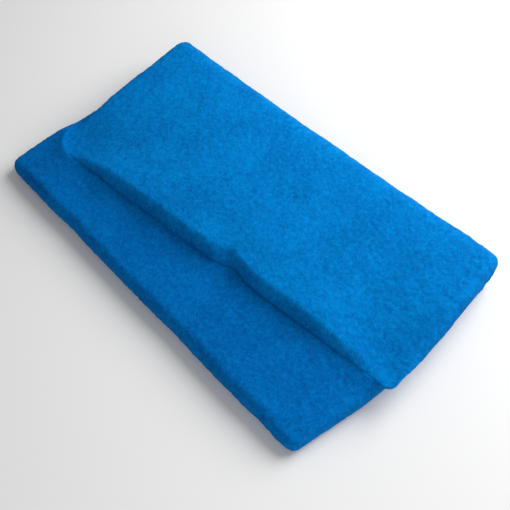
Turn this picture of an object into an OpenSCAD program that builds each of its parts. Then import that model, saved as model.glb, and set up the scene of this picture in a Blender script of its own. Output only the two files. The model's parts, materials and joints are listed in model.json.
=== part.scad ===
// Blue bonded-fibre filter mat for a pond or tank filter, folded over once.
// Origin: middle of the folded mat's footprint, on the surface it lies on.
// +X runs along the fold, +Y points at the fold's rounded back, +Z is up.
// The mat is one continuous sheet. It is drawn as a lower panel, a flap and the
// fold that joins them, and each of those as two face webs round a lofty core.

/* [Mat] */
// Length of the cut mat along the fold
mat_w = 500; // [400:5:600]
// Length of the cut mat across the fold
mat_l = 492; // [440:2:600]
// Thickness of the mat
mat_t = 25; // [15:1:40]
// Radius of the mat's trimmed corners
corner_r = 16; // [6:1:30]

/* [Fold] */
// Distance of the fold line from the middle of the mat
fold_offset = 39; // [20:1:70]
// Angle that the fold line makes with the mat's edge, in degrees
fold_skew = 3.35; // [1:0.05:5]
// How far the middle of the lower panel is pushed along the fold, as the soft mat lies
lower_bow = 8; // [0:1:15]
// The same for the flap
flap_bow = 3; // [0:1:15]
// Space left between the two layers
layer_gap = 0.3; // [0.2:0.1:1]

/* [Webs] */
// Thickness of each denser face web
web_t = 3; // [2:0.5:5]
// How far the face webs stop short of the core at the mat's soft edge
edge_tuck = 4; // [2:1:8]

/* [Hidden] */
// Steps in each rounded corner
corner_steps = 10;
// Steps along each bowed end
end_steps = 6;
// Depth of mat that the bend takes from each panel, along the middle of the sheet
half_bend = PI * mat_t / 4;
// Height of the hinge line, midway between the two layers
hinge_z = mat_t + layer_gap / 2;
// Outer radius of the fold
bend_r = mat_t + layer_gap / 2;
// Overlap that lets a drawn shape cut right through
eps = 1;

// A point of the flat mat, seen from the middle of the fold line
function laid(u, v) = [
    u * cos(fold_skew) + (v - fold_offset) * sin(fold_skew),
    (v - fold_offset) * cos(fold_skew) - u * sin(fold_skew)
];

// The same point once the mat is folded: on the lower panel, or turned over on the flap
function on_lower(u, v) = laid(u, v) + [0, half_bend];
function on_flap(u, v) = [laid(u, v)[0], half_bend - laid(u, v)[1]];

// Places along the fold where the mat's two ends cross it
fold_end = mat_w / 2 / cos(fold_skew);

function unit(v) = v / norm(v);

// Centre of the round that replaces corner b between points a and c
function round_centre(a, b, c, r) =
    let (p = unit(a - b), q = unit(c - b), half = acos(p * q) / 2)
    b + unit(p + q) * r / sin(half);

// Points of that round, from the side towards a to the side towards c
function round_points(a, b, c, r) =
    let (
        m = round_centre(a, b, c, r),
        from = b + unit(a - b) * ((m - b) * unit(a - b)) - m,
        to = b + unit(c - b) * ((m - b) * unit(c - b)) - m,
        start = atan2(from[1], from[0]),
        turn = (atan2(to[1], to[0]) - start + 540) % 360 - 180
    )
    [for (i = [0:corner_steps])
        let (t = start + turn * i / corner_steps)
        m + r * [cos(t), sin(t)]];

// Four corners of each panel, tucked in by d on its three free edges
function lower_corners(d) = [
    [-fold_end + d, 0],
    on_lower(d - mat_w / 2, d - mat_l / 2),
    on_lower(mat_w / 2 - d, d - mat_l / 2),
    [fold_end - d, 0]
];
function flap_corners(d) = [
    [-fold_end + d, 0],
    on_flap(d - mat_w / 2, mat_l / 2 - d),
    on_flap(mat_w / 2 - d, mat_l / 2 - d),
    [fold_end - d, 0]
];

// Points of the straight from a to b, with a in and b left out
function straight(a, b) = [for (i = [0:end_steps - 1]) a + (b - a) * i / end_steps];

// Moves a point along the fold, most of all halfway between the fold and the free edge
function bowed(p, depth, bow) =
    let (s = min(-p[1] / depth, 1))
    p + [4 * bow * s * (1 - s), 0];

// Outline of a panel with corners c: one end, the free edge and the other end
function outline(c, bow) =
    let (
        left = round_points(c[0], c[1], c[2], corner_r),
        right = round_points(c[1], c[2], c[3], corner_r),
        depth = -(c[1][1] + c[2][1]) / 2,
        points = concat(
            straight(c[0], left[0]),
            left,
            right,
            [for (i = [end_steps - 1:-1:0]) straight(c[3], right[corner_steps])[i]]
        )
    )
    [for (p = points) bowed(p, depth, bow)];

function lower_outline(d) = outline(lower_corners(d), lower_bow);
function flap_outline(d) = outline(flap_corners(d), flap_bow);

// Move that puts the origin in the middle of the footprint
centre_x = -(
    min([for (p = lower_outline(0)) p[0]]) + max([for (p = flap_outline(0)) p[0]])
) / 2;
centre_y = -(min([for (p = lower_outline(0)) p[1]]) + bend_r) / 2;

web_blue = [0.03, 0.42, 0.70];
core_blue = [0.05, 0.46, 0.75];

// One layer of a panel: its outline stops half a gap short of the hinge line
module panel_layer(points, z, height) {
    translate([centre_x, centre_y, z])
        linear_extrude(height)
            difference() {
                polygon(points);
                translate([-mat_w, -layer_gap / 2])
                    square([2 * mat_w, layer_gap / 2 + eps]);
            }
}

// One layer of the fold: a half round about the hinge line. It meets the lower
// panel face to face and stands one layer gap clear of the flap.
module fold_layer(r_in, r_out, length) {
    translate([centre_x - length / 2, centre_y, hinge_z])
        rotate([90, 0, 90])
            linear_extrude(length)
                difference() {
                    union() {
                        circle(r = r_out, $fn = 96);
                        translate([-layer_gap / 2, -r_out])
                            square([layer_gap / 2, r_out - r_in]);
                    }
                    circle(r = r_in, $fn = 96);
                    translate([-2 * r_out, -r_out - eps])
                        square([2 * r_out - layer_gap / 2, 2 * (r_out + eps)]);
                    translate([-r_out, r_in - layer_gap / 2])
                        square([r_out + layer_gap / 2, r_out + eps]);
                }
}

module lower_outer_web() {
    color(web_blue) panel_layer(lower_outline(edge_tuck), 0, web_t);
}

module lower_core() {
    color(core_blue) panel_layer(lower_outline(0), web_t, mat_t - 2 * web_t);
}

module lower_inner_web() {
    color(web_blue) panel_layer(lower_outline(edge_tuck), mat_t - web_t, web_t);
}

module fold_outer_web() {
    color(web_blue) fold_layer(bend_r - web_t, bend_r, 2 * (fold_end - edge_tuck));
}

module fold_core() {
    color(core_blue)
        fold_layer(layer_gap / 2 + web_t, bend_r - web_t, 2 * fold_end);
}

module fold_inner_web() {
    color(web_blue)
        fold_layer(layer_gap / 2, layer_gap / 2 + web_t, 2 * (fold_end - edge_tuck));
}

module flap_inner_web() {
    color(web_blue) panel_layer(flap_outline(edge_tuck), mat_t + layer_gap, web_t);
}

module flap_core() {
    color(core_blue)
        panel_layer(flap_outline(0), mat_t + layer_gap + web_t, mat_t - 2 * web_t);
}

module flap_outer_web() {
    color(web_blue)
        panel_layer(flap_outline(edge_tuck), 2 * mat_t + layer_gap - web_t, web_t);
}

lower_outer_web();
lower_core();
lower_inner_web();
fold_outer_web();
fold_core();
fold_inner_web();
flap_inner_web();
flap_core();
flap_outer_web();
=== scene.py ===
"""A square of blue bonded-fibre filter mat, folded over once, built round its CAD frame.

The mat is worked out as one flat sheet (u along the fold, v across it) with an outer and
an inner face. The sheet is folded about the frame's hinge line, and heaped up along the
flap's free edge where the two layers meet. It is then filled out by a short cloth
simulation, roughened into fibre, and cut into three pieces: the lower layer, the fold
and the flap. Loose strands of fibre are laid over each piece. All lengths are in metres,
and all angles in radians.
"""

import json
import math
import random

import bpy
import numpy as np
from mathutils import Matrix, Vector, noise


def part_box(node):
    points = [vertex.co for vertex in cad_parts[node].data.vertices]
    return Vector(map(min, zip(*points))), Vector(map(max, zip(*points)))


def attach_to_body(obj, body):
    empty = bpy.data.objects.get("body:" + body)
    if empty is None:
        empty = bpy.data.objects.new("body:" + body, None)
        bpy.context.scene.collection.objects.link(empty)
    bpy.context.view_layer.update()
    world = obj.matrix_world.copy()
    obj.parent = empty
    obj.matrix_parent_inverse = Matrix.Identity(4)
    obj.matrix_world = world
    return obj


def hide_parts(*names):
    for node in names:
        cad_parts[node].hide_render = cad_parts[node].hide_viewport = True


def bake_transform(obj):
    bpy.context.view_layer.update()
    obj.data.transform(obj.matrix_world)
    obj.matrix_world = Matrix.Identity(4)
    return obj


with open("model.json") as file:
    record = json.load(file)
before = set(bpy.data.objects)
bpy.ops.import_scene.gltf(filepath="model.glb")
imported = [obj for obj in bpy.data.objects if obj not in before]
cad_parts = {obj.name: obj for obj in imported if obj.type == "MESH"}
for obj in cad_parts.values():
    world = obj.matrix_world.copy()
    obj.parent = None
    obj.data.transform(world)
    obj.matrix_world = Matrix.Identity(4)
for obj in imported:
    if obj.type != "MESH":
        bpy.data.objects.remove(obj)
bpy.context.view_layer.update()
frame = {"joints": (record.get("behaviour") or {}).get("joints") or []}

# ---------------------------------------------------------------- the mat, from the frame
FOLD_X, FOLD_Y, HINGE_Z = frame["joints"][0]["pos_m"]
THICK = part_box("lower_inner_web")[1].z          # one layer
TOP_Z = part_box("flap_outer_web")[1].z

MAT_W = 0.500                                   # along the fold
MAT_L = 0.492                                   # across the fold
FOLD_OFFSET = 0.039                             # fold line from the mat's middle
SKEW = math.radians(3.35)                       # fold line against the mat's edge
HALF_BEND = math.pi * THICK / 4                 # mat taken from each panel by the bend
BEND_MID_R = HINGE_Z - THICK / 2                # middle of the sheet in the bend
LOWER_SPAN = MAT_L / 2 + FOLD_OFFSET - HALF_BEND
FLAP_SPAN = MAT_L / 2 - FOLD_OFFSET - HALF_BEND

# The three pieces, and the CAD nodes that each one stands for
STRETCHES = {
    "lower_layer": ("lower_outer_web", "lower_core", "lower_inner_web"),
    "fold": ("fold_outer_web", "fold_core", "fold_inner_web"),
    "flap": ("flap_outer_web", "flap_core", "flap_inner_web"),
}

# How the panels lie out of true
LOWER_BOW = 0.0105                              # sideways push of the lower panel's middle
LOWER_BOW_FAR = 0.45                            # share of that at the far end
LOWER_BOW_SKEW = 1.3                            # over 1 moves it towards the cut edge
FLAP_BOW = 0.003
LOWER_SLIP = (-0.0057, 0.0026)                  # uneven cut of each free edge, far and near end
FLAP_SLIP = (-0.0047, -0.0010)
LEAN_OFFSET = -0.0015                           # the fold's rim is hollow, deepest at this u
LEAN_LOW_U = 0.06
LEAN_RISE, LEAN_REACH = 0.0035, 0.31            # and comes out this much, this far from there
LEAN_DEPTH = 0.12                               # how far from the fold that is felt

# The kink in the flap's free edge
DENT = 0.0075                                   # notch pushed into the edge
DENT_U = 0.041                                  # where it is along the edge
DENT_WIDTH = (0.012, 0.018)                     # its far side and its near side
DENT_FADE = 6                                   # how fast it dies away from the edge
EASE = 1.5                                      # beside it the edge slopes down more gently
EASE_U, EASE_WIDTH = 0.027, 0.009               # where that is, and how wide

# The ridge where the two layers are squashed together along the flap's free edge
RIDGE, RIDGE_SIZE = 0.0065, 0.018               # its height, and its fall outside the flap
RIDGE_ROOT = 0.009                              # its fall under the flap
RIDGE_END = 0.025                               # full this far in from the edge, gone at twice
RIDGE_MESH = 0.0027                             # how deep the lower fibres reach into the flap's

# The cut edges
CORNER_R = {"lower_far": 0.016, "lower_near": 0.012, "flap_far": 0.032, "flap_near": 0.009}
END_ROLL = 0.011                                # how far in each cut edge starts to round off
LOWER_ROLL = 0.011
FLAP_ROLL = 0.0105
EDGE_POWER = 2.3                                # 2 is a circle, more is squarer
FLAP_POWER = 1.8
CORNER_THIN = 0.20                              # how much thinner the mat is at its corners
CORNER_REACH = 0.030
PRESSED = (                                     # the flap's corners: end, how flat, reach
    (-1, 0.93, 0.070),
    (1, 0.72, 0.068),
)
PRESSED_SINK_REACH = 1.5                        # they drop over this many times their reach
LOWER_SINK = 0.30                               # how far a thin edge's middle drops
END_SINK = 0.45
FLAP_SINK = 0.92

# The mesh
GRID = 0.0021
EDGE_STEPS = 9                                  # rows in each rolled edge
BEND_STEPS = 40                                 # rows round the fold

# The surface
SWELL, SWELL_SIZE = 0.0012, 0.085               # long lumps in the lie of the mat
WAVER, WAVER_SIZE = 0.0012, 0.045               # in-plane waver of the cut edges
CLUMP, CLUMP_SIZE = 0.00045, 0.0080             # clumps of fibre
GRAIN, GRAIN_SIZE = 0.00030, 0.0042             # single tufts
WAVE_FADE = 0.8                                 # how much each finer layer of noise fades
WAVE_STEP = 2.0                                 # and how much finer it is
WAVE_OCTAVES = 2
WAVE_SHIFT = (7.31, 3.17, 5.73)                 # sets each seed's noise apart

# Where the mat is shut in, so that nothing swells or stands out of it there
SHUT_AT_EDGE = 0.3                              # from 0 to 1, how shut in at the flap's outline
SHUT_DEPTH = 0.012                              # distance over which that goes from 0 to 1
SHUT_FLOOR = 0.003                              # height over the floor where it is free again

# The cloth simulation
CLOTH_STEP = 4                                  # every so many rows and columns of the mesh
CLOTH_PRESSURE = 0.25
CLOTH_QUALITY = 6                               # the solver's steps in each frame
CLOTH_MASS = 0.2
CLOTH_STRETCH = 20                              # stiffness against stretching and squeezing
CLOTH_BEND = 4                                  # stiffness against bending
CLOTH_FRAMES = 20
CLOTH_CAP = 0.0030                              # the furthest that a point may swell
CLOTH_SHARE = (0.35, 0.35, 1)                   # of the swelling that is kept, each way
CLOTH_SMOOTH = 6                                # passes of averaging
SLACK = 0.06                                    # the flap starts that much thinner on top

# Loose strands
STRANDS_PER_M2 = 12000
STRAND_LENGTH = (0.006, 0.018)
STRAND_R = (0.00010, 0.00020)
STRAND_STEPS = 7
STRAND_FEWEST = 4                               # points that a strand must have
STRAND_MARGIN = 0.006                           # kept free of strands' starts at the cut edges
STRAND_CURL, STRAND_WOBBLE = 0.20, 0.25         # steady and chance turn in each step, at most
STRAND_LIFT = 0.00020                           # its middle stands out by this
STRAND_ROOT = 0.6                               # its ends lie this many radii under the surface
STRAND_SHUT = 1.2                               # and all of it where the mat is shut in
STRAND_TAPER = (0.12, 1, 0.96)                  # its half wave: start, end, share that is used

# The colour. Each noise is scale, detail, roughness and distortion, and its share in the tone.
CLUMP_NOISE, CLUMP_SHARE = (230, 3, 0.65, 0.6), 0.50
TUFT_NOISE, TUFT_SHARE = (560, 2, 0.6, 1.0), 0.30
PATCH_NOISE, PATCH_SHARE = (22, 2, 0.5, 0.0), 0.20
STREAK_NOISE, STREAK_SHARE = (1.0, 2, 0.5, 1.6), 0.06
STREAK_STRETCH = (95, 620, 400)
STREAK_ANGLES = (0.5, 1.65, 2.7)
STREAK_SHARPNESS = 7.0
FIBRE_COLOURS = (
    (0.36, (0.0, 0.082, 0.288)),
    (0.50, (0.0, 0.130, 0.402)),
    (0.66, (0.0, 0.203, 0.560)),
)
FIBRE_SPECULAR, FIBRE_ROUGHNESS = 0.03, 0.95
BUMP_STRENGTH, BUMP_DEPTH = 0.6, 0.0012
STRAND_NOISE = (90, 1, 0.5, 0.0)
STRAND_COLOURS = (
    (0.35, (0.0, 0.170, 0.50)),
    (0.65, (0.0, 0.310, 0.75)),
)
STRAND_SPECULAR, STRAND_ROUGHNESS = 0.05, 0.7
INNER_PAINTED_SHADE = (1.0, 0.76, 0.85)                  # the inner face's colour against the outer's: painted shade for the strip beside the flap, which is the inner face lying in the flap's shade, and partly a darker inner web

# The floor, the light and the camera
FLOOR_HALF = 6.0                                # half its side
FLOOR_GREY, FLOOR_ROUGHNESS = 0.72, 0.9
WORLD_STRENGTH = 0.32
LIGHT_AIM = (0, 0, 0.03)
KEY_PLACE, KEY_SIZE, KEY_POWER = (0.36, 1.06, 0.91), 1.3, 31.8
FILL_PLACE, FILL_SIZE, FILL_POWER = (1.00, -0.75, 0.60), 1.0, 4.5
CAMERA_LENS, CAMERA_SENSOR = 55.2, 36           # mm
CAMERA_FORWARD = Vector((-0.4288, 0.3761, -0.8214))
CAMERA_ROLL = math.radians(-3.96)
CAMERA_TARGET = Vector((0.0524, -0.0212, 0.0236))
CAMERA_DISTANCE = 0.847


# ---------------------------------------------------------------- the flat sheet
def laid(u, v):
    """A point of the flat mat, seen from the middle of the fold line."""
    x = u * math.cos(SKEW) + (v - FOLD_OFFSET) * math.sin(SKEW)
    y = (v - FOLD_OFFSET) * math.cos(SKEW) - u * math.sin(SKEW)
    return x, y


def fold_v(u, y):
    """Where a line a distance y past the fold line crosses the mat at u."""
    return FOLD_OFFSET + (y + u * math.sin(SKEW)) / math.cos(SKEW)


def ticks(length, first_roll, last_roll):
    """Places from 0 to length: close together in a rolled edge, even between."""
    quarter = 1 - np.cos(np.linspace(0, math.pi / 2, EDGE_STEPS + 1))
    first = first_roll * quarter if first_roll else np.zeros(1)
    last = (length - last_roll * quarter)[::-1]
    middle = np.linspace(first[-1], last[0], int((last[0] - first[-1]) / GRID) + 1)
    return np.concatenate([first, middle[1:-1], last])


def corner_radius(u, v):
    """Radius of the corner in each point's quarter of the mat."""
    far, lower = u < 0, v < 0
    quarters = [far & lower, ~far & lower, far & ~lower]
    names = ["lower_far", "lower_near", "flap_far"]
    return np.select(quarters, [CORNER_R[n] for n in names], CORNER_R["flap_near"])


def rounded(u, v):
    """Moves the points of each square corner onto a quarter disc, and leaves the rest."""
    r = corner_radius(u, v)
    # p and q run from 0 to 1 across the corner's own square. The map is square to disc.
    p = np.clip((np.abs(u) - (MAT_W / 2 - r)) / r, 0, 1)
    q = np.clip((np.abs(v) - (MAT_L / 2 - r)) / r, 0, 1)
    du = p * (np.sqrt(1 - q * q / 2) - 1) * r
    dv = q * (np.sqrt(1 - p * p / 2) - 1) * r
    return u + np.sign(u) * du, v + np.sign(v) * dv


def profile(distance, roll, power):
    """Share of the full thickness at a distance from a cut edge."""
    t = 1 - np.clip(distance / roll, 0, 1)
    return (1 - t**power) ** (1 / power)


def nearness(u, v, end, reach):
    """1 at the flap's corner at one end of the fold, falling off round it."""
    away = np.hypot(u - end * MAT_W / 2, v - MAT_L / 2)
    return np.exp(-((away / reach) ** 2))


def thickness(u, v):
    """Half the mat's thickness, and how far its middle sinks where it is thinner."""
    flap = v > 0
    ends = profile(MAT_W / 2 - np.abs(u), END_ROLL, EDGE_POWER)
    eased = FLAP_ROLL * (1 + EASE * np.exp(-(((u - EASE_U) / EASE_WIDTH) ** 2)))
    cut = np.where(
        flap,
        profile(MAT_L / 2 - v, eased, FLAP_POWER),
        profile(MAT_L / 2 + v, LOWER_ROLL, EDGE_POWER),
    )
    corner = np.hypot(np.abs(u) - MAT_W / 2, np.abs(v) - MAT_L / 2)
    thin = 1 - CORNER_THIN * np.exp(-((corner / CORNER_REACH) ** 2))
    end_sink = np.where(flap, END_SINK, LOWER_SINK)
    for end, flatness, reach in PRESSED:
        thin = thin * (1 - flatness * nearness(u, v, end, reach))
        dropped = nearness(u, v, end, PRESSED_SINK_REACH * reach)
        end_sink = end_sink + (FLAP_SINK - END_SINK) * dropped
    cut_sink = np.where(flap, FLAP_SINK, LOWER_SINK)
    sink = cut_sink * (1 - cut) + cut * (end_sink * (1 - ends) + ends * (1 - thin))
    return THICK / 2 * ends * cut * thin, THICK / 2 * sink


# ---------------------------------------------------------------- the fold
def dent(u):
    """How far the flap's free edge is pushed back at u."""
    width = np.where(u < DENT_U, *DENT_WIDTH)
    return DENT * np.exp(-(((u - DENT_U) / width) ** 2))


def over_flap(place):
    """The u and v of the flap's point that lies above or below each folded point."""
    x = place[:, 0] - FOLD_X
    y = FOLD_Y + HALF_BEND - place[:, 1]
    u = x * math.cos(SKEW) - y * math.sin(SKEW)
    pushed = np.interp(u / MAT_W + 0.5, (0, 1), FLAP_SLIP) + dent(u)
    return u, FOLD_OFFSET + x * math.sin(SKEW) + (y + pushed) * math.cos(SKEW)


def past_flap(place):
    """How far each point lies outside the flap's outline. Negative is under the flap."""
    u, v = over_flap(place)
    r = corner_radius(u, np.abs(v))
    p = np.abs(u) - (MAT_W / 2 - r)
    q = v - (MAT_L / 2 - r)
    return np.hypot(np.maximum(p, 0), np.maximum(q, 0)) + np.minimum(np.maximum(p, q), 0) - r


def hump(s):
    """0 at both ends of a stretch and 1 in its middle."""
    return 4 * s * (1 - s)


def folded(u, v, side, half, sink):
    """Where a point of the flat mat lies once folded. side is -1 or 1: inner or outer face."""
    x, y = laid(u, v)
    lower, flap = y < -HALF_BEND, y > HALF_BEND
    # turn is 0 on the lower panel and half a turn on the flap. depth is the way from the
    # bend across a panel, s its share of the whole panel, along the share along the fold.
    turn = np.clip((y + HALF_BEND) / (2 * HALF_BEND), 0, 1) * math.pi
    slack = np.where(side > 0, SLACK * turn / math.pi, 0)
    r = BEND_MID_R + half * side * (1 - slack) + np.where(lower, sink, -sink)
    depth = np.where(lower, -HALF_BEND - y, np.where(flap, y - HALF_BEND, 0))
    s = np.clip(depth / np.where(lower, LOWER_SPAN, FLAP_SPAN), 0, 1)
    along = np.clip(u / MAT_W + 0.5, 0, 1)
    lower_bow = LOWER_BOW * (LOWER_BOW_FAR + (1 - LOWER_BOW_FAR) * along)
    bow = np.where(lower, lower_bow * hump(s**LOWER_BOW_SKEW), FLAP_BOW * hump(s))
    lower_slip = np.interp(along, (0, 1), LOWER_SLIP)
    flap_slip = np.interp(along, (0, 1), FLAP_SLIP)
    slip = np.where(lower, lower_slip, flap_slip)
    notch = np.where(flap, dent(u) * s**DENT_FADE, 0)
    lean = LEAN_RISE * ((u - LEAN_LOW_U) / LEAN_REACH) ** 2 + LEAN_OFFSET
    lean *= np.exp(-((depth / LEAN_DEPTH) ** 2))
    return np.stack([
        FOLD_X + x + bow,
        FOLD_Y + r * np.sin(turn) - depth + slip * s + notch + lean,
        HINGE_Z - r * np.cos(turn),
    ], axis=1)


# ---------------------------------------------------------------- the sheet's mesh
class Sheet:
    """Both faces of the whole mat as one closed grid. outer and inner hold vertex numbers."""

    def __init__(self):
        cols = ticks(MAT_W, END_ROLL, END_ROLL) - MAT_W / 2
        lower = ticks(LOWER_SPAN, 0, LOWER_ROLL)[::-1] / LOWER_SPAN
        flap = ticks(FLAP_SPAN, 0, FLAP_ROLL) / FLAP_SPAN
        bend = np.linspace(-HALF_BEND, HALF_BEND, BEND_STEPS + 1)[1:-1]
        lower_start, flap_start = fold_v(cols, -HALF_BEND), fold_v(cols, HALF_BEND)
        rows = [lower_start + (-MAT_L / 2 - lower_start) * s for s in lower]
        rows += [fold_v(cols, y) for y in bend]
        rows += [flap_start + (MAT_L / 2 - flap_start) * s for s in flap]
        self.cols = cols
        self.row_v = np.array(rows)
        self.shape = self.row_v.shape
        self.bend_rows = (len(lower) - 1, len(lower) + len(bend))
        self.number()
        self.measure()

    def number(self):
        """Numbers the vertices: the outer face first, then the inner face without its rim."""
        n_rows, n_cols = self.shape
        count = n_rows * n_cols
        self.outer = np.arange(count).reshape(self.shape)
        free = np.zeros(self.shape, bool)
        free[1:-1, 1:-1] = True
        self.inner = self.outer.copy()
        self.inner[free] = count + np.arange(free.sum())
        self.free = free.ravel()
        self.side = np.concatenate([np.ones(count), -np.ones(free.sum())])

    def measure(self):
        """Works out each vertex's place in the flat mat and in the folded one."""
        square_u = np.broadcast_to(self.cols, self.shape).ravel()
        square_v = self.row_v.ravel()
        square_u = np.concatenate([square_u, square_u[self.free]])
        square_v = np.concatenate([square_v, square_v[self.free]])
        half, sink = thickness(square_u, square_v)
        self.u, self.v = rounded(square_u, square_v)
        self.flat = np.stack([self.u, self.v, self.side * half], axis=1)
        self.place = folded(self.u, self.v, self.side, half, sink)

    def faces(self, rows=None, cols=None):
        """The quads between the given rows and columns, and the row where each one starts."""
        rows = np.arange(self.shape[0]) if rows is None else rows
        cols = np.arange(self.shape[1]) if cols is None else cols
        found, starts = [], []
        for grid, order in ((self.outer, (0, 3, 2, 1)), (self.inner, (0, 1, 2, 3))):
            part = grid[np.ix_(rows, cols)]
            corners = (part[:-1, :-1], part[:-1, 1:], part[1:, 1:], part[1:, :-1])
            found.append(np.stack([corners[k] for k in order], axis=-1).reshape(-1, 4))
            starts.append(np.repeat(rows[:-1], len(cols) - 1))
        return np.concatenate(found), np.concatenate(starts)


def waves(points, size, seed):
    """Smooth noise from about -1 to 1 at each point."""
    shift = Vector([seed * step for step in WAVE_SHIFT])
    return np.array([
        noise.fractal(Vector(p) / size + shift, WAVE_FADE, WAVE_STEP, WAVE_OCTAVES)
        for p in points
    ])


def mesh_normals(points, faces):
    """Smooth normal at each vertex, from its faces weighted by area."""
    diagonal = points[faces[:, 2]] - points[faces[:, 0]]
    other = points[faces[:, 3]] - points[faces[:, 1]]
    across = np.cross(diagonal, other)
    total = np.zeros_like(points)
    for k in range(4):
        np.add.at(total, faces[:, k], across)
    return total / np.maximum(np.linalg.norm(total, axis=1, keepdims=True), 1e-12)


def covered(sheet):
    """From 0 to 1, how far each vertex is shut in, under the flap or under the mat."""
    under_flap = np.clip(SHUT_AT_EDGE - past_flap(sheet.place) / SHUT_DEPTH, 0, 1)
    under_mat = np.clip(1 - sheet.place[:, 2] / SHUT_FLOOR, 0, 1)
    return np.maximum(np.where(sheet.side < 0, under_flap, 0), under_mat)


def lie_loose(sheet):
    """Long lumps lift the whole depth of the mat, nothing at the floor and most on top."""
    lift = np.clip(sheet.place[:, 2] / TOP_Z, 0, 1)
    over = sheet.place * (1, 1, 0)
    sheet.place[:, 2] += SWELL * lift * waves(over, SWELL_SIZE, seed=1)
    sheet.place[:, 0] += WAVER * waves(over, WAVER_SIZE, seed=2)
    sheet.place[:, 1] += WAVER * waves(over, WAVER_SIZE, seed=3)


def raise_ridge(sheet):
    """Heaps the fibre up along the flap's free edge. Both faces that meet there rise."""
    past = past_flap(sheet.place)
    fall = np.where(past > 0, np.exp(-past / RIDGE_SIZE), np.exp(past / RIDGE_ROOT))
    # Full near the free edge and gone further in, and full at the height where the layers
    # meet and gone at the floor and on top.
    short = MAT_L / 2 - over_flap(sheet.place)[1]
    by_edge = np.clip(2 - short / RIDGE_END, 0, 1)
    meeting = np.clip(1 - np.abs(sheet.place[:, 2] / HINGE_Z - 1), 0, 1)
    lower = laid(sheet.u, sheet.v)[1] < 0
    height = RIDGE + np.where(lower, RIDGE_MESH, 0)
    sheet.place[:, 2] += height * fall * by_edge * meeting


# ---------------------------------------------------------------- cloth
def thinned(count):
    """Every few of count numbers, with the last one always among them."""
    return np.unique(np.append(np.arange(0, count, CLOTH_STEP), count - 1))


def simulate(points, faces, pins):
    """The points after the closed skin has been blown up a little by the cloth solver.

    pins says how firmly each point is held, from 0 to 1.
    """
    mesh = bpy.data.meshes.new("mat_skin")
    mesh.from_pydata(points.tolist(), [], faces.tolist())
    skin = bpy.data.objects.new("mat_skin", mesh)
    bpy.context.scene.collection.objects.link(skin)
    group = skin.vertex_groups.new(name="held")
    for k, weight in enumerate(pins):
        group.add([k], float(weight), "REPLACE")
    cloth = skin.modifiers.new("Cloth", "CLOTH")
    cloth.settings.quality = CLOTH_QUALITY
    cloth.settings.mass = CLOTH_MASS
    cloth.settings.tension_stiffness = CLOTH_STRETCH
    cloth.settings.compression_stiffness = CLOTH_STRETCH
    cloth.settings.bending_stiffness = CLOTH_BEND
    cloth.settings.use_pressure = True
    cloth.settings.uniform_pressure_force = CLOTH_PRESSURE
    cloth.settings.vertex_group_mass = "held"
    cloth.settings.effector_weights.gravity = 0
    cloth.point_cache.frame_end = CLOTH_FRAMES
    for step in range(1, CLOTH_FRAMES + 1):
        bpy.context.scene.frame_set(step)
    final = skin.evaluated_get(bpy.context.evaluated_depsgraph_get())
    result = np.array([vertex.co for vertex in final.data.vertices])
    bpy.data.objects.remove(skin)
    bpy.data.meshes.remove(mesh)
    bpy.context.scene.frame_set(1)
    return result


def smoothed(grid):
    """The grid after a few passes of averaging along its rows and its columns."""
    for _ in range(CLOTH_SMOOTH):
        wide = np.pad(grid, ((1, 1), (1, 1), (0, 0)), mode="edge")
        around = wide[:-2, 1:-1] + wide[2:, 1:-1] + wide[1:-1, :-2] + wide[1:-1, 2:]
        grid = around / 8 + grid / 2
    return grid


def fill_out(sheet):
    """Runs the cloth on a thinned copy of the mesh and carries its swelling back."""
    rows, cols = thinned(sheet.shape[0]), thinned(sheet.shape[1])
    faces, _ = sheet.faces(rows=rows, cols=cols)
    used, packed = np.unique(faces, return_inverse=True)
    pins = covered(sheet)[used]
    start = sheet.place[used]
    move = (simulate(start, packed.reshape(faces.shape), pins) - start) * CLOTH_SHARE
    size = np.linalg.norm(move, axis=1, keepdims=True)
    move *= CLOTH_CAP * np.tanh(size / CLOTH_CAP) / np.maximum(size, 1e-9)
    at_vertex = np.zeros_like(sheet.place)
    at_vertex[used] = move
    all_rows, all_cols = np.arange(sheet.shape[0]), np.arange(sheet.shape[1])
    swelling = np.zeros_like(sheet.place)
    for grid in (sheet.inner, sheet.outer):
        coarse = at_vertex[grid[np.ix_(rows, cols)]]
        lines = np.stack([
            np.stack([np.interp(all_cols, cols, line[:, k]) for k in range(3)], axis=1)
            for line in coarse
        ])
        full = np.stack([
            np.stack([np.interp(all_rows, rows, lines[:, c, k]) for k in range(3)], axis=1)
            for c in all_cols
        ], axis=1)
        swelling[grid] = smoothed(full)
    sheet.place = sheet.place + swelling * (1 - covered(sheet))[:, None]


def roughen(sheet, faces):
    """Raises clumps and tufts of fibre, and only sinks them where the mat is shut in."""
    normals = mesh_normals(sheet.place, faces)
    pile = CLUMP * waves(sheet.flat, CLUMP_SIZE, seed=4)
    pile = pile + GRAIN * waves(sheet.flat, GRAIN_SIZE, seed=5)
    shut = covered(sheet)
    pile = (1 - shut) * pile - shut * np.abs(pile)
    sheet.place = sheet.place + normals * pile[:, None]
    sheet.place[:, 2] = np.maximum(sheet.place[:, 2], 0)


# ---------------------------------------------------------------- strands
def at(grid_values, row, col):
    """The value between four neighbours of a grid."""
    r = min(int(row), grid_values.shape[0] - 2)
    c = min(int(col), grid_values.shape[1] - 2)
    fr, fc = row - r, col - c
    near = grid_values[r, c] * (1 - fc) + grid_values[r, c + 1] * fc
    far = grid_values[r + 1, c] * (1 - fc) + grid_values[r + 1, c + 1] * fc
    return near * (1 - fr) + far * fr


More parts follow.
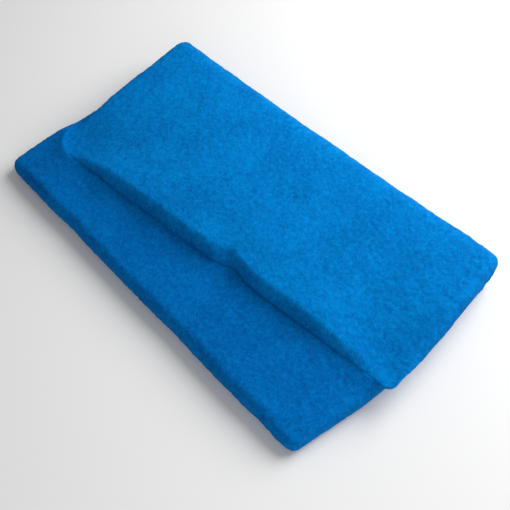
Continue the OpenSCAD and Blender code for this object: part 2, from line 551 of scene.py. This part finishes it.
def strand_walk(sheet, rng, rows):
    """Rows and columns that one curling strand passes over, until it leaves the stretch."""
    numbers = np.arange(len(sheet.cols))
    end, cut = MAT_W / 2 - STRAND_MARGIN, MAT_L / 2 - STRAND_MARGIN
    u = rng.uniform(-end, end)
    column = sheet.row_v[:, int(np.interp(u, sheet.cols, numbers))]
    v = rng.uniform(max(column[rows[0]], -cut), min(column[rows[1]], cut))
    heading = rng.uniform(0, 2 * math.pi)
    curl = rng.uniform(-STRAND_CURL, STRAND_CURL)
    stride = rng.uniform(*STRAND_LENGTH) / STRAND_STEPS
    found = []
    for _ in range(STRAND_STEPS + 1):
        col = float(np.interp(u, sheet.cols, numbers))
        row = float(np.interp(v, sheet.row_v[:, int(round(col))], np.arange(sheet.shape[0])))
        if not (rows[0] + 0.5 < row < rows[1] - 0.5 and 1 < col < len(numbers) - 2):
            break
        found.append((row, col))
        heading += curl + rng.uniform(-STRAND_WOBBLE, STRAND_WOBBLE)
        u += stride * math.cos(heading)
        v += stride * math.sin(heading)
    return found


def strand_tube(points, normals, lifts, radius):
    """Vertices and faces of one thin four-sided tube with pointed ends."""
    n = len(points)
    tangents = np.gradient(points, axis=0)
    tangents /= np.maximum(np.linalg.norm(tangents, axis=1, keepdims=True), 1e-9)
    across = np.cross(normals, tangents)
    first, last, share = STRAND_TAPER
    wave = np.sin(np.linspace(first, last, n) * math.pi * share)
    taper = wave[:, None] ** 0.5 * radius
    middle = points + normals * lifts[:, None]
    ring = (normals * taper, across * taper, -normals * taper, -across * taper)
    vertices = np.stack([middle + offset for offset in ring], axis=1).reshape(-1, 3)
    faces = [
        (4 * i + k, 4 * i + (k + 1) % 4, 4 * i + 4 + (k + 1) % 4, 4 * i + 4 + k)
        for i in range(n - 1) for k in range(4)
    ]
    tip = 4 * (n - 1)
    faces += [(3, 2, 1, 0), (tip, tip + 1, tip + 2, tip + 3)]
    return vertices, faces


def strands(sheet, normals, rows, area, seed):
    """Places, faces and flat places of the strands over one stretch of the mat."""
    rng = random.Random(seed)
    shut = covered(sheet)
    sides = [
        [values[grid] for values in (sheet.place, normals, sheet.flat, shut)]
        for grid in (sheet.inner, sheet.outer)
    ]
    all_vertices, all_faces, all_flat = [], [], []
    count = 0
    for number in range(int(area * STRANDS_PER_M2)):
        walk = strand_walk(sheet, rng, rows)
        radius = rng.uniform(*STRAND_R)
        place, out, flat, closed = sides[number % 2]
        if len(walk) < STRAND_FEWEST:
            continue
        points = np.array([at(place, r, c) for r, c in walk])
        ups = np.array([at(out, r, c) for r, c in walk])
        ups /= np.linalg.norm(ups, axis=1, keepdims=True)
        shut_in = max(at(closed, r, c) for r, c in walk)
        arch = np.sin(np.linspace(0, math.pi, len(walk)))
        lifts = (STRAND_LIFT * arch - radius * STRAND_ROOT) * (1 - shut_in)
        lifts = lifts - radius * STRAND_SHUT * shut_in
        vertices, faces = strand_tube(points, ups, lifts, radius)
        vertices[:, 2] = np.maximum(vertices[:, 2], 0)
        all_vertices.append(vertices)
        all_faces += [tuple(k + count for k in face) for face in faces]
        all_flat.append(np.repeat([at(flat, r, c) for r, c in walk], 4, axis=0))
        count += len(vertices)
    return np.concatenate(all_vertices), all_faces, np.concatenate(all_flat)


# ---------------------------------------------------------------- pieces
def make_piece(name, points, faces, flat, material):
    """A mesh object that remembers where each vertex lies in the flat mat."""
    mesh = bpy.data.meshes.new(name)
    mesh.from_pydata(points.tolist(), [], faces)
    mesh.polygons.foreach_set("use_smooth", [True] * len(mesh.polygons))
    attribute = mesh.attributes.new("flat", "FLOAT_VECTOR", "POINT")
    attribute.data.foreach_set("vector", flat.astype(np.float32).ravel())
    mesh.materials.append(material)
    mesh.update()
    piece = bpy.data.objects.new(name, mesh)
    bpy.context.scene.collection.objects.link(piece)
    return piece


def cut_piece(name, sheet, normals, faces, material):
    """One stretch of the sheet as its own object, with the whole sheet's normals."""
    used, packed = np.unique(faces, return_inverse=True)
    quads = packed.reshape(faces.shape).tolist()
    piece = make_piece(name, sheet.place[used], quads, sheet.flat[used], material)
    piece.data.normals_split_custom_set_from_vertices(normals[used].tolist())
    return piece


def bend_round(piece):
    """Works out each vertex's eased share of the way round the bend, sets it as the vertices'
    places for a moment, and then puts their places back, so the piece stays as it lies.
    """
    vertices = piece.data.vertices
    place = np.empty(len(vertices) * 3, np.float32)
    vertices.foreach_get("co", place)
    flat = np.empty(len(vertices) * 3, np.float32)
    piece.data.attributes["flat"].data.foreach_get("vector", flat)
    flat = flat.reshape(-1, 3).astype(float)
    share = np.clip(0.5 - laid(flat[:, 0], flat[:, 1])[1] / (2 * HALF_BEND), 0, 1)
    # The easing is t * t * (3 - 2 * t), and this is its inverse.
    uneased = 0.5 - np.sin(np.arcsin(1 - 2 * share) / 3)
    row = np.stack([uneased, 0 * share, 0 * share], axis=1)
    vertices.foreach_set("co", row.astype(np.float32).ravel())
    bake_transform(piece)
    vertices.foreach_set("co", place)
    piece.data.update()


# ---------------------------------------------------------------- material
def new_material(name):
    """A material, its nodes and its links."""
    material = bpy.data.materials.new(name)
    material.use_nodes = True
    return material, material.node_tree.nodes, material.node_tree.links


def noise_node(nodes, links, vector, scale, detail, rough, distortion):
    """The output of a Noise Texture node."""
    node = nodes.new("ShaderNodeTexNoise")
    node.inputs["Scale"].default_value = scale
    node.inputs["Detail"].default_value = detail
    node.inputs["Roughness"].default_value = rough
    node.inputs["Distortion"].default_value = distortion
    links.new(vector, node.inputs["Vector"])
    return node.outputs["Fac"]


def maths(nodes, links, operation, first, second):
    """The output of a Math node. Each input is a socket or a number."""
    node = nodes.new("ShaderNodeMath")
    node.operation = operation
    for socket, value in zip(node.inputs, (first, second)):
        if isinstance(value, (int, float)):
            socket.default_value = value
        else:
            links.new(value, socket)
    return node.outputs["Value"]


def ramp(nodes, links, value, stops):
    """The output of a Color Ramp node. Each stop is a place and its colour."""
    node = nodes.new("ShaderNodeValToRGB")
    elements = node.color_ramp.elements
    while len(elements) < len(stops):
        elements.new(0.5)
    for element, (place, colour) in zip(elements, stops):
        element.position = place
        element.color = (*colour, 1)
    links.new(value, node.inputs["Fac"])
    return node.outputs["Color"]


def streaks(nodes, links, vector, angle):
    """Thin bright lines that run roughly one way, as drawn-out fibres do."""
    turned = nodes.new("ShaderNodeMapping")
    turned.inputs["Rotation"].default_value = (0, 0, angle)
    turned.inputs["Scale"].default_value = STREAK_STRETCH
    links.new(vector, turned.inputs["Vector"])
    field = noise_node(nodes, links, turned.outputs["Vector"], *STREAK_NOISE)
    off_middle = maths(nodes, links, "SUBTRACT", field, 0.5)
    off_middle = maths(nodes, links, "ABSOLUTE", off_middle, 0)
    off_middle = maths(nodes, links, "MULTIPLY", off_middle, STREAK_SHARPNESS)
    return maths(nodes, links, "SUBTRACT", 1.0, off_middle)


def painted_inner_shade(nodes, links, vector, colour):
    """The colour, a little deeper towards the mat's inner face. This is painted shade: the inner
    face shows as the strip beside the flap, which lies in the flap's shade, and in part it is also
    a darker inner web. Flat z is depth in the mat.
    """
    split = nodes.new("ShaderNodeSeparateXYZ")
    links.new(vector, split.inputs["Vector"])
    # painted shade: 1 on the inner face, where the colour is darkened, and 0 on the outer face
    shade_share = nodes.new("ShaderNodeMapRange")
    shade_share.inputs["From Min"].default_value = -THICK / 2
    shade_share.inputs["From Max"].default_value = THICK / 2
    shade_share.inputs["To Min"].default_value = 1.0
    shade_share.inputs["To Max"].default_value = 0.0
    links.new(split.outputs["Z"], shade_share.inputs["Value"])
    mix = nodes.new("ShaderNodeMix")
    mix.data_type = "RGBA"
    mix.blend_type = "MULTIPLY"
    factor, first, second = (socket for socket in mix.inputs if socket.enabled)
    links.new(shade_share.outputs["Result"], factor)
    links.new(colour, first)
    second.default_value = (*INNER_PAINTED_SHADE, 1)
    return next(socket for socket in mix.outputs if socket.enabled)


def flat_place(nodes):
    """Where each point of a surface lies in the flat mat."""
    place = nodes.new("ShaderNodeAttribute")
    place.attribute_name = "flat"
    return place.outputs["Vector"]


def fibre_material():
    """The mat itself: clumps, tufts and broad patches of tone, with fine streaks over them."""
    material, nodes, links = new_material("blue_fibre")
    shader = nodes["Principled BSDF"]
    shader.inputs["Specular IOR Level"].default_value = FIBRE_SPECULAR
    shader.inputs["Roughness"].default_value = FIBRE_ROUGHNESS
    vector = flat_place(nodes)
    lines = 0.0
    for angle in STREAK_ANGLES:
        lines = maths(nodes, links, "MAXIMUM", streaks(nodes, links, vector, angle), lines)
    fields = (
        (noise_node(nodes, links, vector, *CLUMP_NOISE), CLUMP_SHARE),
        (noise_node(nodes, links, vector, *TUFT_NOISE), TUFT_SHARE),
        (noise_node(nodes, links, vector, *PATCH_NOISE), PATCH_SHARE),
        (lines, STREAK_SHARE),
    )
    tone = 0.0
    for field, share in fields:
        part = maths(nodes, links, "MULTIPLY", field, share)
        tone = maths(nodes, links, "ADD", tone, part)
    colour = ramp(nodes, links, tone, FIBRE_COLOURS)
    # painted shade: the inner face, seen as the strip beside the flap, is darkened in its colour
    links.new(painted_inner_shade(nodes, links, vector, colour), shader.inputs["Base Color"])
    bump = nodes.new("ShaderNodeBump")
    bump.inputs["Strength"].default_value = BUMP_STRENGTH
    bump.inputs["Distance"].default_value = BUMP_DEPTH
    links.new(tone, bump.inputs["Height"])
    links.new(bump.outputs["Normal"], shader.inputs["Normal"])
    return material


def strand_material():
    """A lighter blue than the mat's, with a little change from strand to strand."""
    material, nodes, links = new_material("blue_strand")
    shader = nodes["Principled BSDF"]
    shader.inputs["Specular IOR Level"].default_value = STRAND_SPECULAR
    shader.inputs["Roughness"].default_value = STRAND_ROUGHNESS
    vector = flat_place(nodes)
    tint = noise_node(nodes, links, vector, *STRAND_NOISE)
    colour = ramp(nodes, links, tint, STRAND_COLOURS)
    # painted shade: strands on the inner face are darkened like the mat under them
    links.new(painted_inner_shade(nodes, links, vector, colour), shader.inputs["Base Color"])
    return material


# ---------------------------------------------------------------- the mat
def attach(piece, name):
    """Makes a piece of one stretch follow its body. The fold's piece is passed to bend_round and
    follows neither body.
    """
    if name == "fold":
        bend_round(piece)
    else:
        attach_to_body(piece, {"lower_layer": "lower_panel", "flap": "flap_panel"}[name])


def build_mat():
    """Makes the three pieces and their strands. The order of the steps matters."""
    sheet = Sheet()
    lie_loose(sheet)
    raise_ridge(sheet)
    fill_out(sheet)
    faces, starts = sheet.faces()
    roughen(sheet, faces)
    normals = mesh_normals(sheet.place, faces)
    first, last = sheet.bend_rows
    rows = {"lower_layer": (0, first), "fold": (first, last), "flap": (last, sheet.shape[0] - 1)}
    spans = {"lower_layer": LOWER_SPAN, "fold": 2 * HALF_BEND, "flap": FLAP_SPAN}
    fibre, strand = fibre_material(), strand_material()
    for seed, (name, nodes) in enumerate(STRETCHES.items()):
        here = (starts >= rows[name][0]) & (starts < rows[name][1])
        piece = cut_piece(name, sheet, normals, faces[here], fibre)
        attach(piece, name)
        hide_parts(*nodes)
        both_faces = spans[name] * MAT_W * 2
        loose = strands(sheet, normals, rows[name], both_faces, seed)
        attach(make_piece(name + "_strands", *loose, strand), name)


build_mat()


# ---------------------------------------------------------------- floor, light, camera
def make_floor():
    """A plain pale floor."""
    mesh = bpy.data.meshes.new("floor")
    corners = [(x * FLOOR_HALF, y * FLOOR_HALF, 0) for x, y in ((-1, -1), (1, -1), (1, 1), (-1, 1))]
    mesh.from_pydata(corners, [], [(0, 1, 2, 3)])
    floor = bpy.data.objects.new("floor", mesh)
    bpy.context.scene.collection.objects.link(floor)
    material, nodes, _ = new_material("pale_floor")
    shader = nodes["Principled BSDF"]
    shader.inputs["Base Color"].default_value = (FLOOR_GREY, FLOOR_GREY, FLOOR_GREY, 1)
    shader.inputs["Roughness"].default_value = FLOOR_ROUGHNESS
    mesh.materials.append(material)


def area_light(name, place, size, power):
    """A round lamp that faces the mat."""
    data = bpy.data.lights.new(name, "AREA")
    data.shape = "DISK"
    data.size = size
    data.energy = power
    lamp = bpy.data.objects.new(name, data)
    lamp.location = place
    towards = Vector(LIGHT_AIM) - Vector(place)
    lamp.rotation_euler = towards.to_track_quat("-Z", "Y").to_euler()
    bpy.context.scene.collection.objects.link(lamp)


def make_light():
    """A weak world, one soft lamp from behind the fold and a weak one from the near end."""
    world = bpy.data.worlds.new("studio")
    world.use_nodes = True
    background = world.node_tree.nodes["Background"]
    background.inputs["Color"].default_value = (1, 1, 1, 1)
    background.inputs["Strength"].default_value = WORLD_STRENGTH
    bpy.context.scene.world = world
    area_light("key", KEY_PLACE, KEY_SIZE, KEY_POWER)
    area_light("fill", FILL_PLACE, FILL_SIZE, FILL_POWER)


def make_camera():
    """The camera, which looks at the mat from the photo's side."""
    data = bpy.data.cameras.new("camera")
    data.lens = CAMERA_LENS
    data.sensor_width = CAMERA_SENSOR
    camera = bpy.data.objects.new("camera", data)
    forward = CAMERA_FORWARD.normalized()
    place = Matrix.Translation(CAMERA_TARGET - forward * CAMERA_DISTANCE)
    turn = forward.to_track_quat("-Z", "Y").to_matrix().to_4x4()
    camera.matrix_world = place @ turn @ Matrix.Rotation(CAMERA_ROLL, 4, "Z")
    bpy.context.scene.collection.objects.link(camera)
    bpy.context.scene.camera = camera


make_floor()
make_light()
make_camera()
bpy.context.scene.view_settings.view_transform = "Standard"
